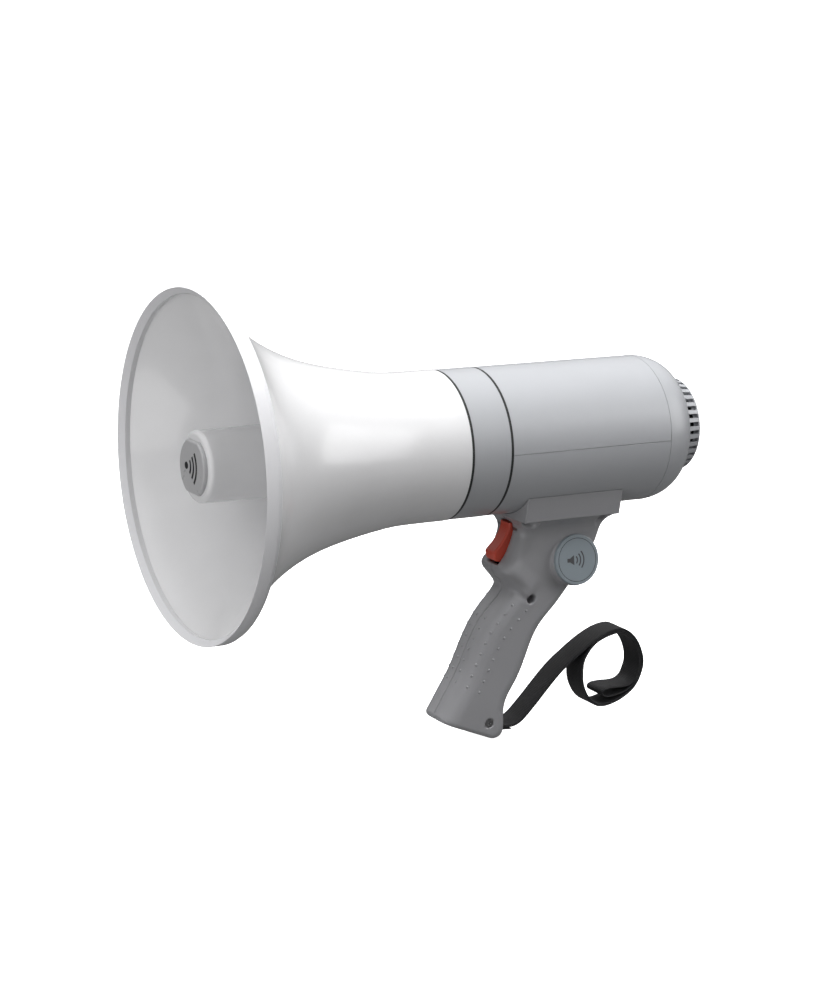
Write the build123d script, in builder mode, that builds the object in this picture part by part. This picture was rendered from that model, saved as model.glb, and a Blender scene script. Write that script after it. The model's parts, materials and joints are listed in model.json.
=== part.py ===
from build123d import *

import os
from math import cos, radians, sin

# Handheld megaphone, as an assembly of separate pieces, in millimetres.
#
# The origin is the centre of the horn's mouth. The barrel's axis is X: the mouth faces -X and the
# microphone end faces +X. +Z is up, so the grip hangs down under the barrel.
# A radius is always measured from the barrel's axis, and a "start" is a place along X.
# Outlines on Plane.XZ are drawn as (x, z), and turned sections as (x, radius).

# ---- Driving dimensions -------------------------------------------------------------------------

GAP = 0.05  # between pieces that are held together
RUNNING = 0.06  # round a shaft that turns or slides

# Horn
MOUTH_RADIUS = 106.0
RIM_INNER_RADIUS = 102.2
RIM_BAND = 8.0  # depth of the textured band round the mouth
RIM_LIP = 2.2  # smaller step behind the band
HORN_EDGE_RADIUS = 104.1
HORN_WALL = 2.2
HORN_START = 4.0
HORN_END = 166.3
HORN_END_RADIUS = 46.9
FLARE = [
    (9, HORN_EDGE_RADIUS),
    (22, 88.4),
    (45, 71.2),
    (78, 57.2),
    (120, 48.7),
    (HORN_END, HORN_END_RADIUS),
]

# Reflector cup in the middle of the horn
CUP_FRONT = 5.0
CUP_RADIUS = 21.6
CUP_WALL = 2.0
CUP_END = 146.0
CUP_END_RADIUS = 26.5
BADGE_RADIUS = 17.4
BADGE_HEIGHT = 31.4
BADGE_FACE = 2.4
BADGE_SEAT = 5.8
BADGE_ROUNDING = 1.2
TUBE_START = 24.0
TUBE_BORE = 8.0
TUBE_SPIGOT_RADIUS = 10.2

# Barrel behind the horn
GASKET = 1.8
COLLAR_START = HORN_END + GASKET
COLLAR_END = 193.9
COLLAR_RADIUS = 46.6
BODY_START = COLLAR_END + GASKET
BODY_END = 311.0
BODY_LENGTH = BODY_END - BODY_START
BODY_RADIUS = 46.5
BODY_WALL = 2.4
BODY_BORE = BODY_RADIUS - BODY_WALL
SEAM = 0.12  # half of the fine gap between the two body shells
CAP_END = 333.5
CAP_REAR_RADIUS = 31.5
GRILLE_END = 345.2
GRILLE_END_RADIUS = 29.6
GRILLE_SLOTS = 36
GRILLE_SLOT_WIDTH = 2.6

# Saddle block under the barrel
SADDLE_START = 214.4
SADDLE_END = 284.0
SADDLE_TOP = -30.6
SADDLE_BOTTOM = -47.6
SADDLE_TOP_HALF_WIDTH = 35.0
SADDLE_BOTTOM_HALF_WIDTH = 31.7
SADDLE_SCREW_SPAN = 54.0
SADDLE_SCREW_HALF_WIDTH = 26.0
SADDLE_SCREW_HEAD = 2.5
RAIL_START = 236.0
RAIL_END = 268.0
RAIL_NECK = 12.0  # half widths of the T rail that the grip's halves close round
RAIL_FLANGE = 15.0
RAIL_NECK_END = -54.3
RAIL_END_Z = -57.0

# Grip: each station is its front point, its rear point, half its width and its corner radius
GRIP_WALL = 2.8
GRIP_TOP = -47.7
PEDESTAL = [
    ((216.5, GRIP_TOP), (284.0, GRIP_TOP), 30.5, 5.0),
    ((217.5, -49.7), (283.4, -49.7), 28.0, 6.0),
]
GRIP_HOLLOW = [
    ((220.4, -54.0), (283.0, -54.0), 23.5, 11.0),
    ((220.4, -60.0), (282.2, -60.0), 20.5, 12.5),
    ((218.4, -66.0), (280.6, -66.0), 19.8, 12.5),
    ((214.8, -73.5), (277.0, -73.5), 19.5, 12.5),
    ((209.4, -82.0), (271.6, -83.8), 19.2, 12.0),
    ((217.3, -93.4), (262.4, -94.4), 18.4, 11.0),
    ((212.3, -103.5), (252.6, -106.6), 17.6, 10.5),
    ((202.4, -114.1), (240.8, -120.0), 17.2, 11.0),
    ((193.0, -130.8), (232.1, -138.5), 17.0, 11.0),
    ((185.2, -148.3), (224.2, -156.0), 17.0, 11.0),
    ((175.6, -164.4), (216.3, -175.5), 17.0, 11.0),
]
GRIP_FOOT = [((167.7, -175.8), (208.8, -192.2), 16.5, 11.0)]
FOOT_ROUNDING = 3.0
GRIP_SCREW = (229.5, -101.0)
STRAP_SCREW = (202.0, -179.6)
DIAL = (258.4, -77.0)  # shared axis of the label disc and the volume knob
DIAL_RADIUS = 16.1
DIAL_BOSS_RADIUS = 16.7
DIAL_SEAT = 20.3  # distance of the knob's seat from the grip's middle plane
DISC_SEAT = 22.2  # and of the disc's
DISC_TILT = 9.0  # the disc faces slightly upwards
DISC_THICKNESS = 2.2
KNOB_RADIUS = 13.6
KNOB_END = 28.0

# Trigger
TRIGGER_PIVOT = (222.5, -56.5)
TRIGGER_HALF_WIDTH = 5.8
TRIGGER_FRONT = [
    (218.6, -53.2),
    (217.8, -58.5),
    (215.4, -62.9),
    (211.3, -68.0),
    (208.0, -72.0),
    (208.6, -75.4),
    (212.2, -77.9),
]
TRIGGER_REAR = 226.0
TRIGGER_SLOT_HALF_WIDTH = 6.15
TRIGGER_SLOT_TOP = -52.3
TRIGGER_SLOT_BOTTOM = -79.5
TRIGGER_SLOT_DEPTH = 229.0
PIN_RADIUS = 1.5
PIN_END = 11.8
SWITCH_Z = -72.0
SWITCH_START = 229.2

# Hand strap: webbing doubled into a loop, rolled up, with the loop's far end left open as a fold
STRAP_WIDTH = 19.0
STRAP_THICKNESS = 1.7  # of the doubled webbing
STRAP_PITCH = 2.0  # from one turn of the roll to the next
STRAP_EXIT = (0.915, -0.403)  # direction in which it leaves the grip
STRAP_EYE = 3.3
STRAP_RUN = [
    (212, -184),
    (220, -186),
    (228, -182.6),
    (237.3, -174.4),
    (256, -154.9),
    (268.9, -144.9),
    (281.2, -137.0),
]
COIL_CENTRE = (296.5, -156.0)
COIL = [
    (292.5, -132.1),
    (303.4, -131.3),
    (312.8, -138.0),
    (318.3, -148.4),
    (319.3, -157.6),
    (314.8, -168.6),
    (306.8, -175.1),
    (296.5, -179.0),
    (287.0, -179.3),
    (279.9, -174.4),
    (275.0, -165.3),
    (273.9, -156.5),
    (275.2, -147.3),
]
FOLD = [
    (315.9, -162.6),
    (312.9, -167.2),
    (305.5, -169.6),
    (296.0, -169.2),
    (290.2, -171.3),
    (295.5, -173.8),
    (303.0, -173.4),
]


# ---- Helpers ------------------------------------------------------------------------------------


def save(piece, name):
    """Labels a finished piece and writes it."""
    piece.part.label = name
    export_step(piece.part, f"parts/{name}.step")


def annulus(start, outer, inner=0.0):
    """A disc or ring across the barrel's axis."""
    with BuildSketch(Plane.YZ.offset(start)) as face:
        Circle(outer)
        if inner:
            Circle(inner, mode=Mode.SUBTRACT)
    return face.sketch


def section(*points):
    """A closed outline of (x, radius) points, for turning round the barrel's axis."""
    with BuildSketch(Plane.XZ) as face:
        with BuildLine():
            Polyline(*points, close=True)
        make_face()
    return face.sketch


def tube(name, start, length, outer, inner):
    """A plain ring on the barrel's axis, written as a piece of its own."""
    with BuildPart() as ring:
        extrude(annulus(start, outer, inner), amount=length)
    save(ring, name)
    return ring


def dots(start, spots, radius):
    """Circles across the barrel's axis, at (y, z) spots."""
    with BuildSketch(Plane.YZ.offset(start)) as face:
        with Locations(*spots):
            Circle(radius)
    return face.sketch


def ring_of_spots(count, radius, first=0.0):
    """(y, z) spots evenly spaced on a circle, the first at an angle in degrees from +Y."""
    turns = [radians(first + 360 * n / count) for n in range(count)]
    return [(radius * cos(a), radius * sin(a)) for a in turns]


def side_circle(spot, y, radius):
    """A circle at an (x, z) spot, on the plane at that y, for extruding towards -Y."""
    with BuildSketch(Plane.XZ.offset(-y)) as face:
        with Locations(spot):
            Circle(radius)
    return face.sketch


def level_rectangle(x_span, y_span, z):
    """A rectangle on the level plane at z, for extruding upwards."""
    with BuildSketch(Plane.XY.offset(z)) as face:
        with Locations((sum(x_span) / 2, sum(y_span) / 2)):
            Rectangle(x_span[1] - x_span[0], y_span[1] - y_span[0])
    return face.sketch


def level_circles(spots, z, radius):
    """Circles on the level plane at z, for extruding upwards."""
    with BuildSketch(Plane.XY.offset(z)) as face:
        with Locations(*spots):
            Circle(radius)
    return face.sketch


def grip_section(station, inset=0.0):
    """A rounded rectangle across the grip, between its front and rear points."""
    front, rear, half_width, corner = station
    front, rear = Vector(front[0], 0, front[1]), Vector(rear[0], 0, rear[1])
    across = rear - front
    plane = Plane(origin=(front + rear) / 2, x_dir=across, z_dir=across.cross(Vector(0, 1, 0)))
    with BuildSketch(plane) as face:
        RectangleRounded(across.length - 2 * inset, 2 * (half_width - inset), corner - inset)
    return face.sketch


os.makedirs("parts", exist_ok=True)

# ---- Horn ---------------------------------------------------------------------------------------

# The bell: one thin wall that follows the flare, with a short edge that sits in the rim.
with BuildPart() as horn_bell:
    with BuildSketch(Plane.XZ):
        with BuildLine():
            outside = Spline(*FLARE, tangents=[(0.62, -0.78), (1, 0)])
            steps = [n / (len(FLARE) - 1) for n in range(len(FLARE))]
            walls = [(outside @ t, outside % t) for t in steps]
            inner_points = [(p.X + HORN_WALL * d.Y, p.Y - HORN_WALL * d.X) for p, d in walls]
            inside = Spline(*inner_points, tangents=[(0.62, -0.78), (1, 0)])
            mouth_corners = [(HORN_START, HORN_EDGE_RADIUS), (HORN_START, RIM_INNER_RADIUS)]
            Polyline(outside @ 0, *mouth_corners, inside @ 0)
            Line(outside @ 1, inside @ 1)
        make_face()
    revolve(axis=Axis.X)
save(horn_bell, "horn_bell")

# The rim: a rounded front ring, the textured band and a small lip, pushed on over the bell's edge.
with BuildPart() as horn_rim:
    seat_radius = HORN_EDGE_RADIUS + GAP
    revolve(
        section(
            (0, RIM_INNER_RADIUS),
            (0, MOUTH_RADIUS),
            (RIM_BAND, MOUTH_RADIUS),
            (RIM_BAND, MOUTH_RADIUS - 0.8),
            (RIM_BAND + RIM_LIP, MOUTH_RADIUS - 0.8),
            (RIM_BAND + RIM_LIP, seat_radius),
            (HORN_START - GAP, seat_radius),
            (HORN_START - GAP, RIM_INNER_RADIUS),
        ),
        axis=Axis.X,
    )
    fillet(horn_rim.edges().filter_by(GeomType.CIRCLE).group_by(Axis.X)[0], radius=1.3)
save(horn_rim, "horn_rim")


def badge_outline(start, clearance):
    """The badge's plate: a disc cut flat at its top and bottom."""
    width = 2 * (BADGE_RADIUS + clearance)
    with BuildSketch(Plane.YZ.offset(start)) as face:
        Circle(BADGE_RADIUS + clearance)
        Rectangle(width, BADGE_HEIGHT + 2 * clearance, mode=Mode.INTERSECT)
    return face.sketch


# The reflector cup is closed in front. The sound comes down the throat tube, turns round in the
# cup and leaves between its rear edge and the bell.
with BuildPart() as reflector_cup:
    with BuildSketch(Plane.XZ):
        with BuildLine():
            Polyline(
                (CUP_FRONT, 0),
                (CUP_FRONT, CUP_RADIUS),
                (75, 22.4),
                (120, CUP_END_RADIUS),
                (CUP_END, CUP_END_RADIUS),
                (CUP_END, CUP_END_RADIUS - CUP_WALL),
                (120, CUP_END_RADIUS - CUP_WALL),
                (75, 22.4 - CUP_WALL),
                (8.2, CUP_RADIUS - CUP_WALL),
                (8.2, 0),
                close=True,
            )
        make_face()
    revolve(axis=Axis.X)
    fillet(reflector_cup.edges().filter_by(GeomType.CIRCLE).group_by(Axis.X)[0], radius=2.8)
    extrude(badge_outline(CUP_FRONT - 1, GAP), amount=BADGE_SEAT - CUP_FRONT + 1, mode=Mode.SUBTRACT)
save(reflector_cup, "reflector_cup")

with BuildPart() as badge_plate:
    extrude(badge_outline(BADGE_FACE, 0), amount=BADGE_SEAT - GAP - BADGE_FACE)
    fillet(badge_plate.faces().sort_by(Axis.X)[0].edges(), radius=BADGE_ROUNDING)
save(badge_plate, "badge_plate")

BACK_PLATE = 160.25  # front of the plate that closes the bell's rear end
with BuildPart() as throat_tube:
    revolve(
        section(
            (TUBE_START, 13.6),
            (TUBE_START, 15.2),
            (149.9, 10.9),
            (149.9, TUBE_SPIGOT_RADIUS),
            (BACK_PLATE - GAP, TUBE_SPIGOT_RADIUS),
            (BACK_PLATE - GAP, TUBE_BORE),
        ),
        axis=Axis.X,
    )
save(throat_tube, "throat_tube")

# The spider holds the cup in the bell: a sleeve, an outer ring and three fins.
SPIDER_START = 130.0
SPIDER_LENGTH = 14.0
SPIDER_SLEEVE = (28.3, CUP_END_RADIUS + GAP)
SPIDER_RING = (44.4, 42.8)
with BuildPart() as reflector_spider:
    extrude(annulus(SPIDER_START, *SPIDER_SLEEVE), amount=SPIDER_LENGTH)
    extrude(annulus(SPIDER_START, *SPIDER_RING), amount=SPIDER_LENGTH)
    with BuildSketch(Plane.YZ.offset(SPIDER_START)):
        with PolarLocations((SPIDER_SLEEVE[0] + SPIDER_RING[1]) / 2, 3, start_angle=90):
            Rectangle(SPIDER_RING[1] - SPIDER_SLEEVE[0] + 1, 2.2)
    extrude(amount=SPIDER_LENGTH)
save(reflector_spider, "reflector_spider")

# ---- Driver -------------------------------------------------------------------------------------

DRIVER_SCREW_SPOTS = ring_of_spots(4, 29.0)
COLLAR_SCREW_SPOTS = ring_of_spots(4, 40.0, first=45)
DRIVER_SCREW = 1.5
COLLAR_SCREW = 2.0
with BuildPart() as horn_back_plate:
    extrude(annulus(BACK_PLATE, HORN_END_RADIUS - HORN_WALL - 0.1, TUBE_BORE), amount=HORN_END - BACK_PLATE)
    extrude(annulus(150, 14.0, TUBE_SPIGOT_RADIUS + GAP), amount=BACK_PLATE - 150)
    extrude(dots(BACK_PLATE, DRIVER_SCREW_SPOTS, DRIVER_SCREW + GAP), amount=8, mode=Mode.SUBTRACT)
    extrude(dots(BACK_PLATE, COLLAR_SCREW_SPOTS, COLLAR_SCREW + GAP), amount=8, mode=Mode.SUBTRACT)
save(horn_back_plate, "horn_back_plate")

DRIVER_FRONT = HORN_END + GAP
DIAPHRAGM = 174.05
with BuildPart() as driver_front:
    extrude(annulus(DRIVER_FRONT, 34.0, TUBE_BORE), amount=171 - DRIVER_FRONT)
    extrude(annulus(171, 34.0, 26.0), amount=DIAPHRAGM - GAP - 171)
    extrude(dots(DRIVER_FRONT, DRIVER_SCREW_SPOTS, DRIVER_SCREW + GAP), amount=12, mode=Mode.SUBTRACT)
save(driver_front, "driver_front")

# A shallow dome with a flat surround, clamped at its edge.
with BuildPart() as diaphragm:
    with BuildSketch(Plane.XZ):
        with BuildLine():
            dome = ThreePointArc((DIAPHRAGM - 2.4, 0), (DIAPHRAGM - 1.9, 8), (DIAPHRAGM, 16))
            back = ThreePointArc((DIAPHRAGM - 2.0, 0), (DIAPHRAGM - 1.5, 8), (DIAPHRAGM + 0.4, 16))
            Polyline(dome @ 1, (DIAPHRAGM, 33), (DIAPHRAGM + 0.4, 33), back @ 1)
            Line(dome @ 0, back @ 0)
        make_face()
    revolve(axis=Axis.X)
    extrude(dots(DIAPHRAGM - 3, DRIVER_SCREW_SPOTS, DRIVER_SCREW + GAP), amount=6, mode=Mode.SUBTRACT)
save(diaphragm, "diaphragm")

TOP_PLATE = DIAPHRAGM + 0.45
MAGNET = TOP_PLATE + 4.05
YOKE = 188.55
tube("voice_coil", TOP_PLATE, 7.5, 16.0, 15.2)
with BuildPart() as top_plate:
    extrude(annulus(TOP_PLATE, 33.0, 17.0), amount=4)
    extrude(dots(TOP_PLATE, DRIVER_SCREW_SPOTS, DRIVER_SCREW + GAP), amount=4, mode=Mode.SUBTRACT)
save(top_plate, "top_plate")
tube("ring_magnet", MAGNET, YOKE - GAP - MAGNET, 35.0, 20.0)
with BuildPart() as back_yoke:
    extrude(annulus(YOKE, 33.0), amount=4)
    extrude(annulus(175, 14.4), amount=YOKE - 175)
    chamfer(back_yoke.faces().sort_by(Axis.X)[-1].edges(), length=1)
save(back_yoke, "back_yoke")

with BuildPart() as driver_screws:
    extrude(dots(BACK_PLATE - GAP - 2, DRIVER_SCREW_SPOTS, 2.8), amount=2)
    extrude(dots(BACK_PLATE - GAP, DRIVER_SCREW_SPOTS, DRIVER_SCREW), amount=18)
save(driver_screws, "driver_screws")

# ---- Collar and its gaskets ---------------------------------------------------------------------

COLLAR_FLANGE = 186.0
tube("front_gasket", HORN_END + GAP, GASKET - 2 * GAP, HORN_END_RADIUS - 0.1, 44.3)
tube("rear_gasket", COLLAR_END + GAP, GASKET - 2 * GAP, COLLAR_RADIUS - 0.1, 44.3)
with BuildPart() as collar_ring:
    extrude(annulus(COLLAR_START, COLLAR_RADIUS, 44.2), amount=COLLAR_END - COLLAR_START)
    extrude(annulus(COLLAR_FLANGE, 44.6, 36.0), amount=2.6)
    extrude(dots(COLLAR_FLANGE, COLLAR_SCREW_SPOTS, COLLAR_SCREW + GAP), amount=3, mode=Mode.SUBTRACT)
save(collar_ring, "collar_ring")

with BuildPart() as collar_screws:
    extrude(dots(161.0, COLLAR_SCREW_SPOTS, COLLAR_SCREW), amount=COLLAR_FLANGE + 2.6 + GAP - 161)
    extrude(dots(COLLAR_FLANGE + 2.6 + GAP, COLLAR_SCREW_SPOTS, 3.4), amount=2.4)
save(collar_screws, "collar_screws")

# ---- Body shells --------------------------------------------------------------------------------

TRAY_RADIUS = 31.0
LATCH_GROOVE = 304.2
LATCH_WIDTH = 3.6
LATCH_DEPTH_RADIUS = 45.3
LATCH_TURN = 30.0  # how far the rear cap turns before its lugs meet the entry slots
BOARD_SPOTS = [(209, 20), (209, -20), (281, 20), (281, -20)]
BOARD_BOTTOM = 33.0
BOARD_TOP = 34.6
SADDLE_MIDDLE = (SADDLE_START + SADDLE_END) / 2
SADDLE_SCREW_SPOTS = [
    (SADDLE_MIDDLE + x * SADDLE_SCREW_SPAN / 2, y * SADDLE_SCREW_HALF_WIDTH) for x in (-1, 1) for y in (-1, 1)
]


def latch_cuts():
    """The groove that the rear cap's lugs turn in, with the three slots where they enter."""
    with BuildPart() as cuts:
        extrude(annulus(LATCH_GROOVE, LATCH_DEPTH_RADIUS, BODY_BORE - 1), amount=LATCH_WIDTH)
        with BuildSketch(Plane.YZ.offset(LATCH_GROOVE)):
            with PolarLocations(BODY_BORE, 3, start_angle=90 + LATCH_TURN):
                Rectangle(2 * (LATCH_DEPTH_RADIUS - BODY_BORE), 11.5)
        extrude(amount=BODY_END - LATCH_GROOVE + 1)
    return cuts.part


with BuildPart() as body_upper_shell:
    extrude(annulus(BODY_START, BODY_RADIUS, BODY_BORE), amount=BODY_END - BODY_START)
    extrude(level_circles(BOARD_SPOTS, BOARD_TOP + GAP, 2.6), amount=8)
    extrude(annulus(BODY_START, BODY_RADIUS + 8, BODY_RADIUS), amount=BODY_LENGTH, mode=Mode.SUBTRACT)
    extrude(level_circles(BOARD_SPOTS, BOARD_TOP - 1, 1.35), amount=4.5, mode=Mode.SUBTRACT)
    add(latch_cuts(), mode=Mode.SUBTRACT)
    split(bisect_by=Plane.XY.offset(SEAM), keep=Keep.TOP)
save(body_upper_shell, "body_upper_shell")

# The lower shell has a tongue behind the seam, two ribs under the battery tray, bosses for the
# saddle's screws and a window for the leads.
with BuildPart() as body_lower_shell:
    extrude(annulus(BODY_START, BODY_RADIUS, BODY_BORE), amount=BODY_END - BODY_START)
    for rib in (232.0, 292.0):
        extrude(annulus(rib, BODY_BORE + 0.4, TRAY_RADIUS + GAP), amount=2)
    extrude(level_circles(SADDLE_SCREW_SPOTS, -42, 3.6), amount=14)
    extrude(annulus(BODY_START, BODY_RADIUS + 8, BODY_RADIUS), amount=BODY_LENGTH, mode=Mode.SUBTRACT)
    extrude(level_circles(SADDLE_SCREW_SPOTS, -50, 1.8), amount=23, mode=Mode.SUBTRACT)
    extrude(level_rectangle((240, 262), (-8, 8), -50), amount=12, mode=Mode.SUBTRACT)
    add(latch_cuts(), mode=Mode.SUBTRACT)
    split(bisect_by=Plane.XY.offset(-SEAM), keep=Keep.BOTTOM)
    for y in (BODY_BORE - 1.6, -BODY_BORE + 0.2):
        extrude(level_rectangle((BODY_START, LATCH_GROOVE - 2), (y, y + 1.4), -4), amount=7)
save(body_lower_shell, "body_lower_shell")

# ---- Rear cap and microphone --------------------------------------------------------------------

# The cap turns on its spigot, which carries three lugs. It comes off to reach the batteries.
CAP_START = BODY_END + 0.15
CAP_WALL = 2.4
CAP_HOLE = 26.5
with BuildPart() as rear_cap:
    depth, rise = CAP_END - CAP_START, BODY_RADIUS + 0.1 - CAP_REAR_RADIUS
    with BuildSketch(Plane.XZ):
        with BuildLine():
            centre = (CAP_START, CAP_REAR_RADIUS)
            crown = EllipticalCenterArc(centre, depth, rise, start_angle=0, arc_size=90)
            inner_depth, inner_rise = depth - CAP_WALL, rise - CAP_WALL
            hollow = EllipticalCenterArc(centre, inner_depth, inner_rise, start_angle=0, arc_size=90)
            Polyline(crown @ 0, (CAP_END, CAP_HOLE), (CAP_END - CAP_WALL, CAP_HOLE), hollow @ 0)
            Line(crown @ 1, hollow @ 1)
        make_face()
    revolve(axis=Axis.X)
    extrude(annulus(303, BODY_BORE - 0.15, 41.7), amount=12)
    extrude(annulus(CAP_START, BODY_BORE + 0.4, 41.7), amount=3.5)
    with BuildSketch(Plane.YZ.offset(LATCH_GROOVE + 0.2)):
        with PolarLocations(BODY_BORE, 3, start_angle=90):
            Rectangle(1.8, 9)
    extrude(amount=LATCH_WIDTH - 0.4)
save(rear_cap, "rear_cap")

GRILLE_START = CAP_END + GAP
GRILLE_WALL = 2.5
SLOT_START = GRILLE_START + 1.0
SLOT_END = GRILLE_END - 1.6
with BuildPart() as mic_grille:
    revolve(
        section(
            (GRILLE_START, CAP_REAR_RADIUS),
            (GRILLE_END, GRILLE_END_RADIUS),
            (GRILLE_END, 0),
            (GRILLE_END - 2, 0),
            (GRILLE_END - 2, GRILLE_END_RADIUS - GRILLE_WALL),
            (GRILLE_START, CAP_REAR_RADIUS - GRILLE_WALL),
        ),
        axis=Axis.X,
    )
    fillet(mic_grille.faces().sort_by(Axis.X)[-1].edges(), radius=1.3)
    extrude(annulus(GRILLE_START, 28.8, 24.5), amount=1.2)
    extrude(annulus(329, CAP_HOLE - GAP, 24.5), amount=GRILLE_START - 329)
    with BuildSketch(Plane.YZ.offset(SLOT_START)):
        with PolarLocations(CAP_REAR_RADIUS, GRILLE_SLOTS):
            Rectangle(8, GRILLE_SLOT_WIDTH)
    extrude(amount=SLOT_END - SLOT_START, mode=Mode.SUBTRACT)
    with BuildSketch(Plane.YZ.offset(GRILLE_END - 3)):
        with GridLocations(0, 5.0, 1, 9):
            Rectangle(60, 2.4)
        Circle(23.0, mode=Mode.INTERSECT)
    extrude(amount=4, mode=Mode.SUBTRACT)
save(mic_grille, "mic_grille")

tube("mic_foam", 338.0, 5.0, 25.8, 0)
with BuildPart() as mic_holder:
    extrude(annulus(334, 24.4), amount=2)
    extrude(annulus(329, 8.0), amount=8.5)
    extrude(annulus(331, 5.0 + GAP), amount=8, mode=Mode.SUBTRACT)
save(mic_holder, "mic_holder")
with BuildPart() as mic_capsule:
    extrude(annulus(331 + GAP, 5.0), amount=6.3)
    fillet(mic_capsule.faces().sort_by(Axis.X)[-1].edges(), radius=0.5)
save(mic_capsule, "mic_capsule")

# ---- Batteries ----------------------------------------------------------------------------------

TRAY_START = 200.0
TRAY_END = 309.0
TRAY_BORE = 29.4
CELL_RADIUS = 13.0
CELL_LENGTH = 48.5
CELL_NUB = 1.2
CELL_SPOTS = ring_of_spots(3, 15.4, first=90)
CELL_STARTS = (202.6, 202.6 + CELL_LENGTH + CELL_NUB + 0.2)
END_PLATE = 305.2
with BuildPart() as battery_tray:
    extrude(annulus(TRAY_START, TRAY_RADIUS), amount=2)
    extrude(annulus(TRAY_START, TRAY_RADIUS, TRAY_BORE), amount=TRAY_END - TRAY_START)
save(battery_tray, "battery_tray")
tube("battery_end_plate", END_PLATE, 2.0, TRAY_BORE - GAP, 0)
with BuildPart() as battery_cells:
    for start in CELL_STARTS:
        extrude(dots(start, CELL_SPOTS, CELL_RADIUS), amount=CELL_LENGTH)
        extrude(dots(start + CELL_LENGTH, CELL_SPOTS, 3.0), amount=CELL_NUB)
save(battery_cells, "battery_cells")
with BuildPart() as battery_contacts:
    extrude(dots(202 + GAP, CELL_SPOTS, 7.0), amount=0.4)
save(battery_contacts, "battery_contacts")

# Three short coil springs between the rear cells and the end plate.
SPRING_START = CELL_STARTS[1] + CELL_LENGTH + CELL_NUB + 0.3
with BuildPart() as battery_springs:
    for y, z in CELL_SPOTS:
        spring_base = (SPRING_START + 0.3, y, z)
        with BuildLine():
            coil = Helix(pitch=0.95, height=1.9, radius=5.0, center=spring_base, direction=(1, 0, 0))
        with BuildSketch(Plane(origin=coil @ 0, z_dir=coil % 0)):
            Circle(0.3)
        sweep(path=coil)
save(battery_springs, "battery_springs")

# ---- Amplifier ----------------------------------------------------------------------------------

BOARD_X = (205.0, 286.0)
with BuildPart() as amplifier_board:
    extrude(level_rectangle(BOARD_X, (-25, 25), BOARD_BOTTOM), amount=BOARD_TOP - BOARD_BOTTOM)
    extrude(level_circles(BOARD_SPOTS, BOARD_BOTTOM, 1.6), amount=3, mode=Mode.SUBTRACT)
save(amplifier_board, "amplifier_board")
with BuildPart() as board_screws:
    extrude(level_circles(BOARD_SPOTS, BOARD_BOTTOM - GAP - 1.4, 2.4), amount=1.4)
    extrude(level_circles(BOARD_SPOTS, BOARD_BOTTOM - GAP, 1.3), amount=4.6)
save(board_screws, "board_screws")

PARTS_LEVEL = BOARD_TOP + GAP
with BuildPart() as output_transformer:
    extrude(level_rectangle((216, 236), (-11, 11), PARTS_LEVEL), amount=3)
    extrude(level_rectangle((218, 234), (-7, 7), PARTS_LEVEL), amount=6.4)
save(output_transformer, "output_transformer")
with BuildPart() as board_capacitors:
    extrude(level_circles([(243, -6), (243, 6), (254, 0)], PARTS_LEVEL, 4.0), amount=6)
    fillet(board_capacitors.faces().group_by(Axis.Z)[-1].edges(), radius=0.6)
save(board_capacitors, "board_capacitors")
with BuildPart() as heat_sink:
    extrude(level_rectangle((262, 275), (-18, 18), PARTS_LEVEL), amount=1.5)
    for fin in range(5):
        left = 262 + 2.8 * fin
        extrude(level_rectangle((left, left + 1.2), (-18, 18), PARTS_LEVEL + 1), amount=3.4)
save(heat_sink, "heat_sink")
with BuildPart() as power_transistors:
    for middle in (-9, 9):
        extrude(level_rectangle((277, 281.5), (middle - 5, middle + 5), PARTS_LEVEL), amount=3.6)
save(power_transistors, "power_transistors")

# ---- Saddle block -------------------------------------------------------------------------------

with BuildPart() as saddle_block:
    with BuildSketch(Plane.YZ.offset(SADDLE_START)):
        with BuildLine():
            Polyline(
                (-SADDLE_TOP_HALF_WIDTH, SADDLE_TOP),
                (SADDLE_TOP_HALF_WIDTH, SADDLE_TOP),
                (SADDLE_BOTTOM_HALF_WIDTH, SADDLE_BOTTOM),
                (-SADDLE_BOTTOM_HALF_WIDTH, SADDLE_BOTTOM),
                close=True,
            )
        make_face()
    extrude(amount=SADDLE_END - SADDLE_START)
    sides = saddle_block.faces().sort_by(Axis.Y)
    chamfer(sides[0].edges() + sides[-1].edges(), length=0.5)
    extrude(level_rectangle((RAIL_START, RAIL_END), (-RAIL_NECK, RAIL_NECK), RAIL_NECK_END), amount=9)
    extrude(level_rectangle((RAIL_START, RAIL_END), (-RAIL_FLANGE, RAIL_FLANGE), RAIL_END_Z), amount=2.7)
    extrude(annulus(SADDLE_START, BODY_RADIUS + 0.25), amount=SADDLE_END - SADDLE_START, mode=Mode.SUBTRACT)
    extrude(level_rectangle((242, 260), (-7, 7), -60), amount=20, mode=Mode.SUBTRACT)
    extrude(level_circles(SADDLE_SCREW_SPOTS, -50, 1.8), amount=23, mode=Mode.SUBTRACT)
    pocket_depth = SADDLE_BOTTOM + SADDLE_SCREW_HEAD + 50
    extrude(level_circles(SADDLE_SCREW_SPOTS, -50, 3.5), amount=pocket_depth, mode=Mode.SUBTRACT)
save(saddle_block, "saddle_block")

with BuildPart() as saddle_screws:
    screw_seat = SADDLE_BOTTOM + SADDLE_SCREW_HEAD - GAP
    extrude(level_circles(SADDLE_SCREW_SPOTS, SADDLE_BOTTOM, 3.4), amount=SADDLE_SCREW_HEAD - GAP)
    extrude(level_circles(SADDLE_SCREW_SPOTS, screw_seat, 1.7), amount=16)
save(saddle_screws, "saddle_screws")

# ---- Grip ---------------------------------------------------------------------------------------

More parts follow.
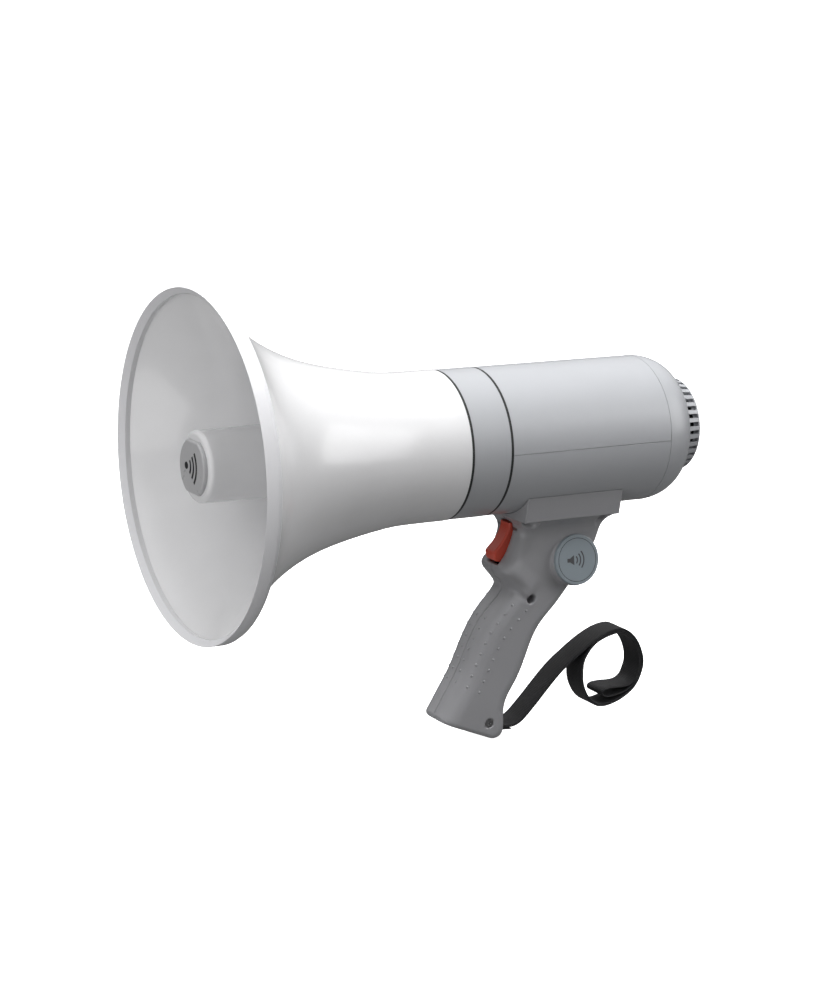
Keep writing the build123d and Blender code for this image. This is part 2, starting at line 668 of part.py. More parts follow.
STRAP_CHANNEL_HALF = 3.6
PIVOT_BOSS = 3.2
GRIP_SCREW_SEAT = -8.0
STRAP_SCREW_SEAT = -14.0
dial_plane = Plane(
    origin=(DIAL[0], -DISC_SEAT, DIAL[1]),
    x_dir=(1, 0, 0),
    z_dir=(0, -cos(radians(DISC_TILT)), sin(radians(DISC_TILT))),
)


def dial_circle(radius, inset=0.0):
    """A circle on the label disc's seat, or sunk below it."""
    with BuildSketch(dial_plane.offset(-inset)) as face:
        Circle(radius)
    return face.sketch


def strap_channel():
    """The slot in the grip's foot where the strap wraps round its screw and leaves to the rear."""
    with BuildPart() as channel:
        with BuildLine() as way_out:
            PolarLine(STRAP_SCREW, 26, direction=STRAP_EXIT)
        with BuildSketch(Plane.XZ):
            trace(way_out.line, line_width=2 * STRAP_CHANNEL_HALF)
            with Locations(STRAP_SCREW):
                Circle(STRAP_CHANNEL_HALF)
        extrude(amount=STRAP_WIDTH / 2 + 0.4, both=True)
    return channel.part


def boss(spot, y, length, radius):
    """A round boss across the grip, from y towards -Y."""
    with BuildPart() as cylinder:
        extrude(side_circle(spot, y, radius), amount=length)
    return cylinder.part


# The outside of the grip with the seats of the disc and the knob, before it is hollowed.
with BuildPart() as grip_outside:
    loft([grip_section(s) for s in PEDESTAL + GRIP_HOLLOW + GRIP_FOOT])
    fillet(grip_outside.faces().sort_by(Axis.Z)[0].edges(), radius=FOOT_ROUNDING)
    extrude(dial_circle(DIAL_BOSS_RADIUS), amount=-8)
    extrude(dial_circle(DIAL_RADIUS + 0.3), amount=5, mode=Mode.SUBTRACT)
    add(boss(DIAL, DIAL_SEAT, 8, DIAL_BOSS_RADIUS))

# Bosses inside it, for the trigger's pin and the screw that joins the two halves.
with BuildPart() as grip_bosses:
    add(boss(TRIGGER_PIVOT, -7.4, 12, PIVOT_BOSS))
    add(boss(TRIGGER_PIVOT, 19.4, 12, PIVOT_BOSS))
    add(boss(GRIP_SCREW, 17, 34, 4.4))
    add(grip_outside.part, mode=Mode.INTERSECT)

with BuildPart() as grip_shell:
    add(grip_outside.part)
    loft([grip_section(s, GRIP_WALL) for s in GRIP_HOLLOW], mode=Mode.SUBTRACT)
    add(grip_bosses.part)
    neck = level_rectangle((RAIL_START - 0.2, RAIL_END + 0.2), (-RAIL_NECK - 0.2, RAIL_NECK + 0.2), -56)
    extrude(neck, amount=10, mode=Mode.SUBTRACT)
    flange_width = (-RAIL_FLANGE - 0.2, RAIL_FLANGE + 0.2)
    flange = level_rectangle((RAIL_START - 0.2, RAIL_END + 0.2), flange_width, -57.2)
    extrude(flange, amount=57.2 + RAIL_NECK_END + 0.1, mode=Mode.SUBTRACT)
    extrude(level_circles(SADDLE_SCREW_SPOTS, -64, 5.5), amount=20, mode=Mode.SUBTRACT)
    add(strap_channel(), mode=Mode.SUBTRACT)
    slot_sides = (-TRIGGER_SLOT_HALF_WIDTH, TRIGGER_SLOT_HALF_WIDTH)
    trigger_slot = level_rectangle((198, TRIGGER_SLOT_DEPTH), slot_sides, TRIGGER_SLOT_BOTTOM)
    extrude(trigger_slot, amount=TRIGGER_SLOT_TOP - TRIGGER_SLOT_BOTTOM, mode=Mode.SUBTRACT)
    pin_bore = side_circle(TRIGGER_PIVOT, PIN_END + GAP, PIN_RADIUS + 0.03)
    extrude(pin_bore, amount=2 * (PIN_END + GAP), mode=Mode.SUBTRACT)
    extrude(side_circle(GRIP_SCREW, 11, 1.55), amount=30, mode=Mode.SUBTRACT)
    extrude(side_circle(STRAP_SCREW, 13, 2.0), amount=30, mode=Mode.SUBTRACT)

with BuildPart() as handle_left:
    add(grip_shell.part)
    split(bisect_by=Plane.XZ.offset(GAP / 2), keep=Keep.TOP)
    extrude(side_circle(GRIP_SCREW, GRIP_SCREW_SEAT, 3.1), amount=20, mode=Mode.SUBTRACT)
    extrude(side_circle(STRAP_SCREW, STRAP_SCREW_SEAT, 3.1), amount=10, mode=Mode.SUBTRACT)
save(handle_left, "handle_left")

with BuildPart() as handle_right:
    add(grip_shell.part)
    extrude(side_circle(DIAL, DIAL_SEAT + 1, 3.6), amount=10, mode=Mode.SUBTRACT)
    split(bisect_by=Plane.XZ.offset(-GAP / 2), keep=Keep.BOTTOM)
save(handle_right, "handle_right")

with BuildPart() as handle_screw:
    extrude(side_circle(GRIP_SCREW, GRIP_SCREW_SEAT - GAP, 2.9), amount=2.2)
    extrude(side_circle(GRIP_SCREW, 10.5, PIN_RADIUS), amount=10.5 - GRIP_SCREW_SEAT + 1)
save(handle_screw, "handle_screw")

with BuildPart() as strap_screw:
    extrude(side_circle(STRAP_SCREW, STRAP_SCREW_SEAT - GAP, 3.0), amount=2.0)
    extrude(side_circle(STRAP_SCREW, 12.5, 1.95), amount=12.5 - STRAP_SCREW_SEAT + 1)
    with BuildSketch(Plane.XZ.offset(GAP - STRAP_SCREW_SEAT + 2)):
        with Locations(STRAP_SCREW):
            Rectangle(3.6, 0.8, rotation=20)
            Rectangle(0.8, 3.6, rotation=20)
    extrude(amount=-1.1, mode=Mode.SUBTRACT)
save(strap_screw, "strap_screw")

with BuildPart() as label_disc:
    extrude(dial_circle(DIAL_RADIUS, inset=-GAP), amount=DISC_THICKNESS)
    fillet(label_disc.faces().sort_by(Axis.Y)[0].edges(), radius=0.7)
save(label_disc, "label_disc")

# ---- Volume control -----------------------------------------------------------------------------

SHAFT_RADIUS = 2.94
with BuildPart() as volume_pot:
    extrude(side_circle(DIAL, 13.8, 6.6), amount=8)
    extrude(side_circle(DIAL, 19.6, 3.5), amount=6.5)
    extrude(side_circle(DIAL, 20, SHAFT_RADIUS + RUNNING), amount=8.6, mode=Mode.SUBTRACT)
save(volume_pot, "volume_pot")

with BuildPart() as volume_knob:
    extrude(side_circle(DIAL, KNOB_END, KNOB_RADIUS), amount=KNOB_END - DIAL_SEAT - 0.3)
    fillet(volume_knob.faces().sort_by(Axis.Y)[-1].edges(), radius=1.4)
    with BuildSketch(Plane.XZ.offset(-KNOB_END)):
        with Locations(DIAL):
            with PolarLocations(KNOB_RADIUS + 0.4, 24):
                Circle(1.0)
    extrude(amount=6.4, mode=Mode.SUBTRACT)
    extrude(side_circle(DIAL, 21, SHAFT_RADIUS), amount=8.5)
save(volume_knob, "volume_knob")

# ---- Trigger ------------------------------------------------------------------------------------

with BuildPart() as trigger:
    with BuildSketch(Plane.XZ):
        with BuildLine():
            Spline(*TRIGGER_FRONT, tangents=[(0.2, -1), (1, -0.2)])
            foot = TRIGGER_FRONT[-1][1]
            Polyline(TRIGGER_FRONT[-1], (TRIGGER_REAR - 2, foot), (TRIGGER_REAR, foot + 2))
            Polyline((TRIGGER_REAR, foot + 2), (TRIGGER_REAR, -53.2), TRIGGER_FRONT[0])
        make_face()
    extrude(amount=TRIGGER_HALF_WIDTH, both=True)
    side_faces = trigger.faces().filter_by(Axis.Y)
    fillet(side_faces.edges().filter_by(GeomType.BSPLINE), radius=1.4)
    extrude(side_circle(TRIGGER_PIVOT, 8, PIN_RADIUS + RUNNING), amount=16, mode=Mode.SUBTRACT)
save(trigger, "trigger")

with BuildPart() as trigger_pin:
    extrude(side_circle(TRIGGER_PIVOT, PIN_END, PIN_RADIUS), amount=2 * PIN_END)
save(trigger_pin, "trigger_pin")

with BuildPart() as microswitch:
    extrude(level_rectangle((SWITCH_START, 243), (-3.2, 3.2), SWITCH_Z - 5), amount=10)
    extrude(level_rectangle((243, 247), (-0.4, 0.4), SWITCH_Z - 3.2), amount=1.6)
    extrude(level_rectangle((243, 247), (-0.4, 0.4), SWITCH_Z + 1.6), amount=1.6)
    with BuildSketch(Plane.YZ.offset(SWITCH_START - 1)):
        with Locations((0, SWITCH_Z)):
            Circle(1.2 + RUNNING)
    extrude(amount=7, mode=Mode.SUBTRACT)
save(microswitch, "microswitch")

with BuildPart() as switch_plunger:
    extrude(dots(TRIGGER_REAR + GAP, [(0, SWITCH_Z)], 1.2), amount=5.4)
    fillet(switch_plunger.faces().sort_by(Axis.X)[0].edges(), radius=0.5)
save(switch_plunger, "switch_plunger")

# ---- Hand strap ---------------------------------------------------------------------------------

def inward(spot):
    """The same spot on the roll's next turn."""
    to_centre = Vector(*COIL_CENTRE) - Vector(*spot)
    moved = Vector(*spot) + to_centre.normalized() * STRAP_PITCH
    return (moved.X, moved.Y)


with BuildPart() as hand_strap:
    second_turn = [inward(spot) for spot in [STRAP_RUN[-1], *COIL[:5]]]
    with BuildLine() as strap_path:
        Spline(STRAP_SCREW, *STRAP_RUN, *COIL, *second_turn, *FOLD)
    with BuildSketch(Plane.XZ):
        trace(strap_path.line, line_width=STRAP_THICKNESS)
        with Locations(STRAP_SCREW):
            Circle(STRAP_EYE)
            Circle(2.0 + GAP, mode=Mode.SUBTRACT)
    extrude(amount=STRAP_WIDTH / 2, both=True)
save(hand_strap, "hand_strap")
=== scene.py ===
import json
import math

import bmesh
import bpy
import numpy as np
from mathutils import Matrix, Vector
from mathutils.bvhtree import BVHTree


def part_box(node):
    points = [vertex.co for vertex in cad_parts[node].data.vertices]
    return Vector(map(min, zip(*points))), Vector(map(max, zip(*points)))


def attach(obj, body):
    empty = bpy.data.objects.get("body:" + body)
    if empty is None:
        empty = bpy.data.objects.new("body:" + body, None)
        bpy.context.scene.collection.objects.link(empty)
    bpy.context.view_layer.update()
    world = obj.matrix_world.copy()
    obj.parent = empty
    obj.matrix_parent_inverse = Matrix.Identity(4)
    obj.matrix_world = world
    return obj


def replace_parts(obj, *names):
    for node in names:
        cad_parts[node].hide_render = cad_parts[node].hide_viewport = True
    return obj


# The look of the handheld megaphone: studio, camera, materials, and the pieces whose finish is
# finer than the CAD model's. Everything is in metres, in the CAD model's own frame: the mouth of
# the horn is at the origin, the barrel runs along +X and the grip hangs down under it.

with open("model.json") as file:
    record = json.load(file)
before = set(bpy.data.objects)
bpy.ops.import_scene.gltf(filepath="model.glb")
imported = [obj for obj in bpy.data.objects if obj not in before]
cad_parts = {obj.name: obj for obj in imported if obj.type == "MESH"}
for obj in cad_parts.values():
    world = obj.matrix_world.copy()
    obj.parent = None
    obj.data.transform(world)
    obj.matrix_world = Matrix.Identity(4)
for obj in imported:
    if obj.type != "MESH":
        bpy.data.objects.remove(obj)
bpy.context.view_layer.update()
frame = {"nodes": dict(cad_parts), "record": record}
nodes = frame["nodes"]
scene = bpy.context.scene
ROOT = "megaphone"
MM = 0.001


# ---- Helpers for shader nodes ----------------------------------------------------------------------


class Shader:
    """A node tree with short ways to add and join nodes."""

    def __init__(self, material):
        material.use_nodes = True
        self.tree = material.node_tree
        self.surface = self.tree.nodes["Principled BSDF"]

    def add(self, kind, **settings):
        node = self.tree.nodes.new(kind)
        for key, value in settings.items():
            setattr(node, key, value)
        return node

    def join(self, out, into):
        self.tree.links.new(out, into)

    def noise(self, scale, detail=3.0, roughness=0.5, stretch=None):
        """Noise in the object's own space. scale is in features per metre."""
        place = self.add("ShaderNodeTexCoord")
        vector = place.outputs["Object"]
        if stretch:
            mapping = self.add("ShaderNodeMapping")
            mapping.inputs["Scale"].default_value = stretch
            self.join(vector, mapping.inputs["Vector"])
            vector = mapping.outputs["Vector"]
        texture = self.add("ShaderNodeTexNoise")
        texture.inputs["Scale"].default_value = scale
        texture.inputs["Detail"].default_value = detail
        texture.inputs["Roughness"].default_value = roughness
        self.join(vector, texture.inputs["Vector"])
        return texture.outputs["Fac"]

    def between(self, factor, low, high):
        """Maps a 0..1 factor to a range of values."""
        span = self.add("ShaderNodeMapRange")
        span.inputs["To Min"].default_value = low
        span.inputs["To Max"].default_value = high
        self.join(factor, span.inputs["Value"])
        return span.outputs["Result"]

    def mix(self, factor, first, second):
        blend = self.add("ShaderNodeMix", data_type="RGBA")
        blend.inputs["A"].default_value = (*first, 1)
        blend.inputs["B"].default_value = (*second, 1)
        self.join(factor, blend.inputs["Factor"])
        return blend.outputs["Result"]

    def bump(self, height, strength, distance, under=None):
        """A bump of that height, in metres, laid over a normal."""
        bump = self.add("ShaderNodeBump")
        bump.inputs["Strength"].default_value = strength
        bump.inputs["Distance"].default_value = distance
        self.join(height, bump.inputs["Height"])
        if under:
            self.join(under, bump.inputs["Normal"])
        return bump.outputs["Normal"]

    def rounded(self, radius):
        """Edges that catch the light, as moulded ones do."""
        bevel = self.add("ShaderNodeBevel", samples=4)
        bevel.inputs["Radius"].default_value = radius
        return bevel.outputs["Normal"]


def plastic(name, colour, roughness, edge=0.3 * MM, grain=0.0, grain_size=0.4 * MM, coat=0.0):
    """Moulded plastic: slightly uneven colour and gloss, with rounded edges and an optional grain."""
    material = bpy.data.materials.new(name)
    s = Shader(material)
    worn = [c * 0.94 for c in colour]
    clouds = s.noise(45, detail=5)
    s.join(s.mix(clouds, worn, colour), s.surface.inputs["Base Color"])
    gloss = s.noise(160, detail=6, roughness=0.6)
    s.join(s.between(gloss, roughness * 0.85, roughness * 1.2), s.surface.inputs["Roughness"])
    s.surface.inputs["Coat Weight"].default_value = coat
    s.surface.inputs["Coat Roughness"].default_value = 0.08
    normal = s.rounded(edge) if edge else None
    sink_marks = s.noise(60, detail=2)
    normal = s.bump(sink_marks, strength=0.12, distance=0.2 * MM, under=normal)
    if grain:
        pits = s.noise(1 / grain_size, detail=1)
        normal = s.bump(pits, strength=grain, distance=0.08 * MM, under=normal)
    s.join(normal, s.surface.inputs["Normal"])
    return material


def metal(name, colour, roughness, edge=0.15 * MM, brushed=None):
    """Metal with fine scratches, along one axis where it is brushed."""
    material = bpy.data.materials.new(name)
    s = Shader(material)
    s.surface.inputs["Metallic"].default_value = 1.0
    scratches = s.noise(900, detail=4, stretch=brushed or (1, 1, 1))
    s.join(s.mix(scratches, [c * 0.8 for c in colour], colour), s.surface.inputs["Base Color"])
    s.join(s.between(scratches, roughness * 0.7, roughness * 1.4), s.surface.inputs["Roughness"])
    normal = s.bump(scratches, strength=0.15, distance=0.05 * MM, under=s.rounded(edge))
    s.join(normal, s.surface.inputs["Normal"])
    return material


WEAVE_PITCH = (("X", 1.25), ("Y", 1.0))  # millimetres between ribs, and between weft threads
WAVE_SCALE = 0.314  # the wave texture's scale that gives bands 1 unit apart


def woven(name, colour):
    """Nylon webbing: lengthwise ribs crossed by the weft, drawn in the UV map's millimetres, with painted
    shade in the low parts of the weave and a painted highlight on its raised threads.
    """
    material = bpy.data.materials.new(name)
    s = Shader(material)
    place = s.add("ShaderNodeUVMap")
    heights = []
    for direction, pitch in WEAVE_PITCH:
        wave = s.add("ShaderNodeTexWave", bands_direction=direction)
        wave.inputs["Scale"].default_value = WAVE_SCALE / pitch
        wave.inputs["Distortion"].default_value = 0.6
        s.join(place.outputs["UV"], wave.inputs["Vector"])
        heights.append(wave.outputs["Fac"])
    weave = s.add("ShaderNodeMath", operation="MULTIPLY")
    s.join(heights[0], weave.inputs[0])
    s.join(heights[1], weave.inputs[1])
    # Painted shade and painted highlight: the colour is darker where the weave is low and lighter where
    # its threads are raised.
    shaded_hollows = [c * 0.5 for c in colour]
    lit_crowns = [c * 1.7 for c in colour]
    s.join(s.mix(weave.outputs["Value"], shaded_hollows, lit_crowns), s.surface.inputs["Base Color"])
    s.surface.inputs["Roughness"].default_value = 0.62
    s.surface.inputs["Sheen Weight"].default_value = 0.06
    s.surface.inputs["Sheen Roughness"].default_value = 0.4
    fuzz = s.bump(s.noise(2500, detail=2), strength=0.3, distance=0.1 * MM)
    threads = s.bump(weave.outputs["Value"], strength=0.8, distance=0.25 * MM, under=fuzz)
    s.join(threads, s.surface.inputs["Normal"])
    return material


def paint(obj, material):
    """Gives an object one material."""
    obj.data.materials.clear()
    obj.data.materials.append(material)


# ---- Materials ---------------------------------------------------------------------------------------

MATERIALS = {
    "horn_white": plastic("horn_white", (0.80, 0.80, 0.81), 0.22, coat=0.3),
    "rim_white": plastic("rim_white", (0.75, 0.75, 0.77), 0.5, grain=0.5, grain_size=0.9 * MM),
    "shell_grey": plastic("shell_grey", (0.42, 0.43, 0.45), 0.3, coat=0.1),
    "gasket_black": plastic("gasket_black", (0.012, 0.012, 0.013), 0.5),
    "grip_grey": plastic(
        "grip_grey", (0.33, 0.33, 0.345), 0.3, edge=0.4 * MM, grain=0.1, grain_size=0.5 * MM, coat=0.15
    ),
    "disc_slate": plastic("disc_slate", (0.25, 0.29, 0.32), 0.42),
    "knob_grey": plastic("knob_grey", (0.07, 0.07, 0.075), 0.4),
    "trigger_red": plastic("trigger_red", (0.66, 0.09, 0.055), 0.34, edge=0.6 * MM),
    "badge_metal": plastic("badge_metal", (0.47, 0.47, 0.48), 0.28, edge=0.4 * MM, coat=0.3),
    "screw_steel": metal("screw_steel", (0.5, 0.5, 0.51), 0.3),
    "foam_black": plastic("foam_black", (0.02, 0.02, 0.02), 0.9, edge=0, grain=0.9, grain_size=0.7 * MM),
    "inner_black": plastic("inner_black", (0.04, 0.04, 0.04), 0.5),
    "plate_steel": metal("plate_steel", (0.5, 0.5, 0.5), 0.35),
    "magnet_ferrite": plastic("magnet_ferrite", (0.06, 0.06, 0.065), 0.6),
    "coil_copper": metal("coil_copper", (0.72, 0.36, 0.2), 0.3, brushed=(12, 1, 1)),
    "film_amber": plastic("film_amber", (0.35, 0.17, 0.05), 0.4),
    "capsule_metal": metal("capsule_metal", (0.68, 0.68, 0.69), 0.3),
    "board_green": plastic("board_green", (0.02, 0.13, 0.06), 0.35),
    "cell_jacket": plastic("cell_jacket", (0.05, 0.08, 0.15), 0.25, coat=0.4),
    "sink_black": metal("sink_black", (0.05, 0.05, 0.05), 0.5),
    "strap_black": woven("strap_black", (0.009, 0.009, 0.011)),
}

for part in frame["record"]["subparts"]:
    node = nodes[part["node"]]
    paint(node, MATERIALS[part["material_slot"]])

# ---- Shared shapes -----------------------------------------------------------------------------------


def piece(name, verts, faces, material, body=ROOT, smooth_angle=35):
    """A new mesh that rides on a body, shaded smooth up to an angle between faces, in degrees."""
    mesh = bpy.data.meshes.new(name)
    mesh.from_pydata(verts, [], faces)
    mesh.validate()
    tidy = bmesh.new()
    tidy.from_mesh(mesh)
    bmesh.ops.recalc_face_normals(tidy, faces=tidy.faces)
    tidy.to_mesh(mesh)
    tidy.free()
    obj = bpy.data.objects.new(name, mesh)
    scene.collection.objects.link(obj)
    mesh.shade_smooth()
    mesh.set_sharp_from_angle(angle=math.radians(smooth_angle))
    paint(obj, MATERIALS[material])
    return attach(obj, body)


def plate(name, outline, hole, origin, across, up, thickness, material, slot, body=ROOT):
    """A flat plate that stands out from origin. Its hole, if any, has as many points as its outline."""
    across, up = Vector(across).normalized(), Vector(up).normalized()
    out = across.cross(up)
    verts, faces = [], []
    rings = [outline] if hole is None else [outline, hole]
    n = len(outline)
    for level in (0, thickness):
        for ring in rings:
            verts += [Vector(origin) + across * u + up * v + out * level for u, v in ring]
    count = len(rings) * n
    for i in range(n):
        j = (i + 1) % n
        faces.append((i, j, count + j, count + i))
        if hole is not None:
            faces.append((n + j, n + i, count + n + i, count + n + j))
            faces.append((count + i, count + j, count + n + j, count + n + i))
            faces.append((j, i, n + i, n + j))
    if hole is None:
        faces.append(tuple(range(count, count + n)))
        faces.append(tuple(reversed(range(n))))
    return piece(name, [tuple(v) for v in verts], faces, material, body)


def arc_band(radius, width, start, end, count=24):
    """The outline of a curved bar, from one angle to another in degrees."""
    turns = [math.radians(start + (end - start) * i / count) for i in range(count + 1)]
    outer = [((radius + width / 2) * math.cos(a), (radius + width / 2) * math.sin(a)) for a in turns]
    inner = [((radius - width / 2) * math.cos(a), (radius - width / 2) * math.sin(a)) for a in turns]
    return outer + inner[::-1]


def clipped(width, height, corner):
    """A rectangle with cut corners."""
    w, h, c = width / 2, height / 2, corner
    upper = [(w, h - c), (w - c, h), (c - w, h), (-w, h - c)]
    lower = [(-w, c - h), (c - w, -h), (w - c, -h), (w, c - h)]
    return upper + lower


def circle(radius, count=96):
    """Points evenly spaced round a circle."""
    turns = [2 * math.pi * i / count for i in range(count)]
    return [(radius * math.cos(a), radius * math.sin(a)) for a in turns]


CURVE_STEPS = 24  # of each stretch, before its points are spaced evenly


def curve_through(points, spacing):
    """Points evenly spaced along a smooth curve through the given ones."""
    p = np.array(points, float)
    p = np.vstack([2 * p[0] - p[1], p, 2 * p[-1] - p[-2]])
    dense = []
    for a, b, c, d in zip(p, p[1:], p[2:], p[3:]):
        speed, bend, twist = c - a, 2 * a - 5 * b + 4 * c - d, 3 * b - a - 3 * c + d
        for t in np.linspace(0, 1, CURVE_STEPS, endpoint=False):
            dense.append(0.5 * (2 * b + speed * t + bend * t**2 + twist * t**3))
    dense.append(p[-2])
    return evenly(dense, spacing)


def evenly(points, spacing):
    """The same line with its points evenly spaced."""
    p = np.array(points, float)
    run = np.concatenate([[0], np.cumsum(np.linalg.norm(np.diff(p, axis=0), axis=1))])
    stops = np.linspace(0, run[-1], max(2, int(round(run[-1] / spacing)) + 1))
    return np.stack([np.interp(stops, run, p[:, k]) for k in range(p.shape[1])], axis=1)


def ramp(value, start, end):
    """0 before start, 1 after end, and a smooth rise between them."""
    t = np.clip((value - start) / (end - start), 0, 1)
    return t * t * (3 - 2 * t)


# ---- Grip --------------------------------------------------------------------------------------------

SKIN_VOXEL = 0.55 * MM
SKIN_SMOOTHING = 6  # rounds
CREASE_FROM = np.array((0.2070, -0.0838))  # (x, z) of the moulded step below the trigger
CREASE_TO = np.array((0.2268, -0.0992))
CREASE_STEP = 1.5 * MM
CREASE_RISE = (-1.4 * MM, 0.8 * MM)  # above the crease, where the step comes out of the grip
CREASE_FADE = (3 * MM, 16 * MM)  # above the crease, where it goes back in
FLAT_SIDES = (3 * MM, 12 * MM)  # the step grows between these distances from the grip's middle
CREASE_START = (-0.9, -0.3)  # it begins and ends along the crease, in lengths of the crease
CREASE_END = (0.85, 1.15)
VALLEY_DEPTH = 0.5 * MM
VALLEY_CENTRE = 2.4 * MM  # below the crease
VALLEY_WIDTH = 1.8 * MM


def grip_skin(node):
    """A fine copy of half the grip, its edges softened and the step below the trigger pressed in."""
    obj = bpy.data.objects.new(node + "_skin", nodes[node].data.copy())
    scene.collection.objects.link(obj)
    fine = obj.modifiers.new("fine", "REMESH")
    fine.mode, fine.voxel_size, fine.use_smooth_shade = "VOXEL", SKIN_VOXEL, True
    soft = obj.modifiers.new("soft", "SMOOTH")
    soft.factor, soft.iterations = 0.5, SKIN_SMOOTHING
    bpy.context.view_layer.update()
    graph = bpy.context.evaluated_depsgraph_get()
    obj.data = bpy.data.meshes.new_from_object(obj.evaluated_get(graph))
    obj.modifiers.clear()
    co = np.zeros(len(obj.data.vertices) * 3)
    obj.data.vertices.foreach_get("co", co)
    co = co.reshape(-1, 3)
    length = np.linalg.norm(CREASE_TO - CREASE_FROM)
    along = (CREASE_TO - CREASE_FROM) / length
    place = co[:, [0, 2]] - CREASE_FROM
    t = place @ along / length
    above = place @ np.array((-along[1], along[0]))
    sides = ramp(np.abs(co[:, 1]), *FLAT_SIDES) * (1 - ramp(t, *CREASE_END)) * ramp(t, *CREASE_START)
    housing = ramp(above, *CREASE_RISE) * (1 - ramp(above, *CREASE_FADE))
    valley = np.exp(-(((above + VALLEY_CENTRE) / VALLEY_WIDTH) ** 2))
    co[:, 1] += np.sign(co[:, 1]) * sides * (CREASE_STEP * housing - VALLEY_DEPTH * valley)
    obj.data.vertices.foreach_set("co", co.ravel())
    obj.data.update()
    obj.data.shade_smooth()
    paint(obj, MATERIALS["grip_grey"])
    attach(obj, ROOT)
    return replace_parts(obj, node)


skins = [grip_skin("handle_left"), grip_skin("handle_right")]

DOT_SPACING = 7.3 * MM
DOT_RADIUS = 0.95 * MM
DOT_HEIGHT = 0.6 * MM
DOT_SINK = 0.05 * MM  # of each dome into the skin
DOT_AROUND = 12
DOT_LEVELS = 4  # rings of points in a dome
DOT_PLANE = 17.5 * MM  # the rows are drawn on this plane beside the grip
DOT_SIGHT = (0.479, 0.849, -0.223)  # and carried on to its skin this way, mirrored on the far side
DOT_RUN_UP = 0.05  # how far out along that way the search for the skin starts, in its lengths
DOT_COLUMNS = [
    [(0.1960, -0.1100), (0.1848, -0.1289), (0.1761, -0.1493)],
    [(0.2156, -0.1034), (0.2003, -0.1200), (0.1902, -0.1399), (0.1843, -0.1532)],
    [(0.2259, -0.1081), (0.2096, -0.1252), (0.1994, -0.1445), (0.1932, -0.1577)],
]


def grip_dots(skin, side):
    """Small domes in three curved rows on one face of the grip. side is -1 or 1 along Y."""
    tree = BVHTree.FromObject(skin, bpy.context.evaluated_depsgraph_get())
    verts, faces, around = [], [], DOT_AROUND
    for column in DOT_COLUMNS:
        for x, z in curve_through(column, DOT_SPACING):
            sight = Vector((DOT_SIGHT[0], -side * DOT_SIGHT[1], DOT_SIGHT[2]))
            start = Vector((x, side * DOT_PLANE, z)) - sight * DOT_RUN_UP
            spot, normal, _, _ = tree.ray_cast(start, sight)
            turn = normal.to_track_quat("Z", "Y")
            first = len(verts)
            for level in range(DOT_LEVELS):
                lean = level * math.pi / 2 / DOT_LEVELS
                height = DOT_HEIGHT * math.sin(lean) - DOT_SINK
                for a in circle(DOT_RADIUS * math.cos(lean), around):
                    verts.append(spot + turn @ Vector((*a, height)))
            verts.append(spot + turn @ Vector((0, 0, DOT_HEIGHT)))
            for level in range(DOT_LEVELS - 1):
                for i in range(around):
                    j = (i + 1) % around
                    low, high = first + level * around, first + (level + 1) * around
                    faces.append((low + i, low + j, high + j, high + i))
            top = first + (DOT_LEVELS - 1) * around
            faces += [(top + i, top + (i + 1) % around, top + around) for i in range(around)]
            faces.append(tuple(reversed(range(first, first + around))))
    spots = [tuple(v) for v in verts]
    return piece(f"{skin.name}_dots", spots, faces, "grip_grey", smooth_angle=60)


bpy.context.view_layer.update()
grip_dots(skins[0], -1)
grip_dots(skins[1], 1)

# ---- Rim of the mouth ----------------------------------------------------------------------------------

# (x, radius) in millimetres. Its inner side carries on the slope of the bell.
RIM_LIP = [(4.0, 102.2), (0.95, 105.1), (0.35, 105.6), (0.2, 105.85), (0.5, 106.0)]
RIM_BAND = [(8.0, 106.0), (8.0, 105.2), (8.4, 105.0)]
RIM_BACK = [(10.0, 105.0), (10.2, 104.8), (10.2, 104.2), (4.0, 104.2)]
RIM_PROFILE = RIM_LIP + RIM_BAND + RIM_BACK
RIM_STEPS = 256


def lathe(name, profile, steps, material):
    """A closed outline of (x, radius) points in millimetres, turned round the barrel's axis."""
    verts, faces, n = [], [], len(profile)
    for u, v in circle(1.0, steps):
        verts += [(x * MM, radius * MM * u, radius * MM * v) for x, radius in profile]
    for i in range(steps):
        for k in range(n):
            here, there, after = i * n, (i + 1) % steps * n, (k + 1) % n
            faces.append((here + k, here + after, there + after, there + k))
    return piece(name, verts, faces, material, smooth_angle=30)


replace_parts(lathe("rim_ring", RIM_PROFILE, RIM_STEPS, "rim_white"), "horn_rim")

# ---- Badge on the reflector cup ----------------------------------------------------------------------

BADGE_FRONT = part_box("badge_plate")[0].x
TOWARDS_MOUTH = {"origin": (BADGE_FRONT, 0.0, 0.0), "across": (0, -1, 0), "up": (0, 0, 1)}
MOTIF = {"thickness": 0.15 * MM, "material": "gasket_black", "slot": "badge_metal", **TOWARDS_MOUTH}
MOTIF_CENTRE = -7.0 * MM
WAVE_SPREAD = 40  # degrees to each side, of every sound wave drawn here
BADGE_WAVE_RADII = (6.0, 10.0, 14.0)
BADGE_WAVE_WIDTH = 1.7 * MM
BADGE_DOT_RADIUS = 2.2 * MM


def sound_wave(radius, width, shift):
    """The outline of one curved bar of a sound-wave sign, moved sideways by shift."""
    return [(u + shift, v) for u, v in arc_band(radius, width, -WAVE_SPREAD, WAVE_SPREAD)]


for number, radius in enumerate(BADGE_WAVE_RADII):
    wave = sound_wave(radius * MM, BADGE_WAVE_WIDTH, MOTIF_CENTRE)
    plate(f"badge_wave_{number}", wave, None, **MOTIF)
badge_dot = [(u + MOTIF_CENTRE, v) for u, v in circle(BADGE_DOT_RADIUS, 32)]
plate("badge_dot", badge_dot, None, **MOTIF)

# ---- Disc and knob -----------------------------------------------------------------------------------

